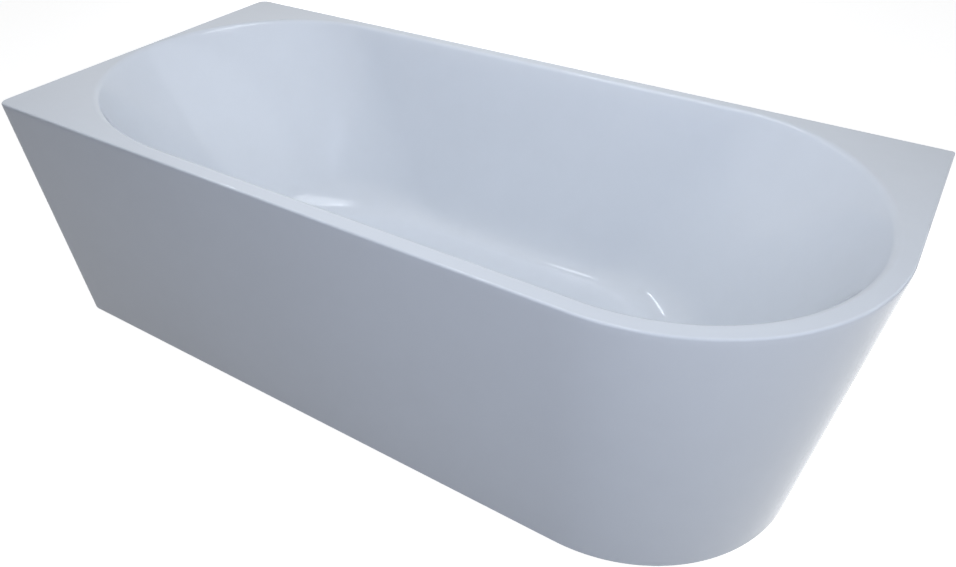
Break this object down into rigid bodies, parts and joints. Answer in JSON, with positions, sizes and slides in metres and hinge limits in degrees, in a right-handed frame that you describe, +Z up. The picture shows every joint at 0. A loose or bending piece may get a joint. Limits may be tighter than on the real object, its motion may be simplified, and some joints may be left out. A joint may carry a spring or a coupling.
{
  "type": "bathtub",
  "caption": "Asymmetric back-to-wall bath with an oval basin, one large rounded corner and a tapered skirt, on a steel frame with screw feet, with click waste, trap and overflow.",
  "frame": {"origin": "on the floor, under the middle of the deck's bounding rectangle", "axes": "+X along the bath to its rounded end, +Y to the wall behind it, +Z up"},
  "size_m": [1.7, 0.8, 0.58],
  "materials": {
    "acrylic": "white gloss acrylic",
    "skirt": "white gloss acrylic",
    "board": "raw chipboard",
    "plywood": "raw plywood",
    "frame": "galvanised steel",
    "bracket": "zinc plated steel",
    "pad": "black moulded plastic",
    "zinc": "zinc plated steel",
    "chrome": "polished chrome",
    "seal": "black rubber",
    "brass": "turned brass",
    "nut": "grey moulded plastic",
    "pipe": "white moulded plastic"
  },
  "bodies": {
    "bath": {"bath_shell": "acrylic", "outer_skirt": "skirt", "base_board": "board", "deck_stiffener_front_left": "plywood", "deck_stiffener_back_left": "plywood", "deck_stiffener_back_right": "plywood", "frame_cross_1": "frame", "frame_cross_2": "frame", "frame_cross_3": "frame", "frame_cross_4": "frame", "frame_rail_front": "frame", "frame_rail_back": "frame", "frame_post_front_left": "frame", "frame_post_back_left": "frame", "frame_post_back_right": "frame", "skirt_bracket_1": "bracket", "skirt_bracket_2": "bracket", "skirt_bracket_3": "bracket", "skirt_bracket_4": "bracket", "skirt_bracket_5": "bracket", "skirt_bracket_6": "bracket", "foot_locknut_1": "zinc", "foot_locknut_2": "zinc", "foot_locknut_3": "zinc", "foot_locknut_4": "zinc", "foot_locknut_5": "zinc", "foot_locknut_6": "zinc", "waste_flange": "chrome", "waste_cartridge": "brass", "waste_seal": "seal", "waste_body": "pipe", "trap": "pipe", "trap_outlet_nut": "nut", "hose_nut": "nut", "overflow_cover": "chrome", "overflow_seal": "seal", "overflow_body": "pipe", "overflow_hose": "pipe"},
    "plug": {"waste_plug": "chrome", "plug_seal": "seal"},
    "foot_1_base": {"foot_pad_1": "pad"},
    "foot_1_screw": {"foot_rod_1": "zinc"},
    "foot_2_base": {"foot_pad_2": "pad"},
    "foot_2_screw": {"foot_rod_2": "zinc"},
    "foot_3_base": {"foot_pad_3": "pad"},
    "foot_3_screw": {"foot_rod_3": "zinc"},
    "foot_4_base": {"foot_pad_4": "pad"},
    "foot_4_screw": {"foot_rod_4": "zinc"},
    "foot_5_base": {"foot_pad_5": "pad"},
    "foot_5_screw": {"foot_rod_5": "zinc"},
    "foot_6_base": {"foot_pad_6": "pad"},
    "foot_6_screw": {"foot_rod_6": "zinc"}
  },
  "joints": [
    {"name": "plug_lift", "type": "slide", "parent": "bath", "child": "plug", "axis": [0, 0, 1], "range_m": [0, 0.009]},
    {"name": "foot_1_lift", "type": "slide", "parent": "bath", "child": "foot_1_base", "axis": [0, 0, 1], "range_m": [-0.02, 0.008]},
    {"name": "foot_1_turn", "type": "hinge", "parent": "foot_1_base", "child": "foot_1_screw", "pos_m": [-0.68, -0.285, 0.08], "axis": [0, 0, 1], "range_deg": [-4115, 1646]},
    {"name": "foot_2_lift", "type": "slide", "parent": "bath", "child": "foot_2_base", "axis": [0, 0, 1], "range_m": [-0.02, 0.008]},
    {"name": "foot_2_turn", "type": "hinge", "parent": "foot_2_base", "child": "foot_2_screw", "pos_m": [-0.68, 0.322, 0.08], "axis": [0, 0, 1], "range_deg": [-4115, 1646]},
    {"name": "foot_3_lift", "type": "slide", "parent": "bath", "child": "foot_3_base", "axis": [0, 0, 1], "range_m": [-0.02, 0.008]},
    {"name": "foot_3_turn", "type": "hinge", "parent": "foot_3_base", "child": "foot_3_screw", "pos_m": [-0.2499, 0.322, 0.08], "axis": [0, 0, 1], "range_deg": [-4115, 1646]},
    {"name": "foot_4_lift", "type": "slide", "parent": "bath", "child": "foot_4_base", "axis": [0, 0, 1], "range_m": [-0.02, 0.008]},
    {"name": "foot_4_turn", "type": "hinge", "parent": "foot_4_base", "child": "foot_4_screw", "pos_m": [0.2499, -0.285, 0.08], "axis": [0, 0, 1], "range_deg": [-4115, 1646]},
    {"name": "foot_5_lift", "type": "slide", "parent": "bath", "child": "foot_5_base", "axis": [0, 0, 1], "range_m": [-0.02, 0.008]},
    {"name": "foot_5_turn", "type": "hinge", "parent": "foot_5_base", "child": "foot_5_screw", "pos_m": [0.6494, -0.21843, 0.08], "axis": [0, 0, 1], "range_deg": [-4115, 1646]},
    {"name": "foot_6_lift", "type": "slide", "parent": "bath", "child": "foot_6_base", "axis": [0, 0, 1], "range_m": [-0.02, 0.008]},
    {"name": "foot_6_turn", "type": "hinge", "parent": "foot_6_base", "child": "foot_6_screw", "pos_m": [0.6494, 0.322, 0.08], "axis": [0, 0, 1], "range_deg": [-4115, 1646]}
  ],
  "couplings": [
    {"joint": "foot_1_turn", "follows": "foot_1_lift", "rad_per_m": 3590.4},
    {"joint": "foot_2_turn", "follows": "foot_2_lift", "rad_per_m": 3590.4},
    {"joint": "foot_3_turn", "follows": "foot_3_lift", "rad_per_m": 3590.4},
    {"joint": "foot_4_turn", "follows": "foot_4_lift", "rad_per_m": 3590.4},
    {"joint": "foot_5_turn", "follows": "foot_5_lift", "rad_per_m": 3590.4},
    {"joint": "foot_6_turn", "follows": "foot_6_lift", "rad_per_m": 3590.4}
  ]
}
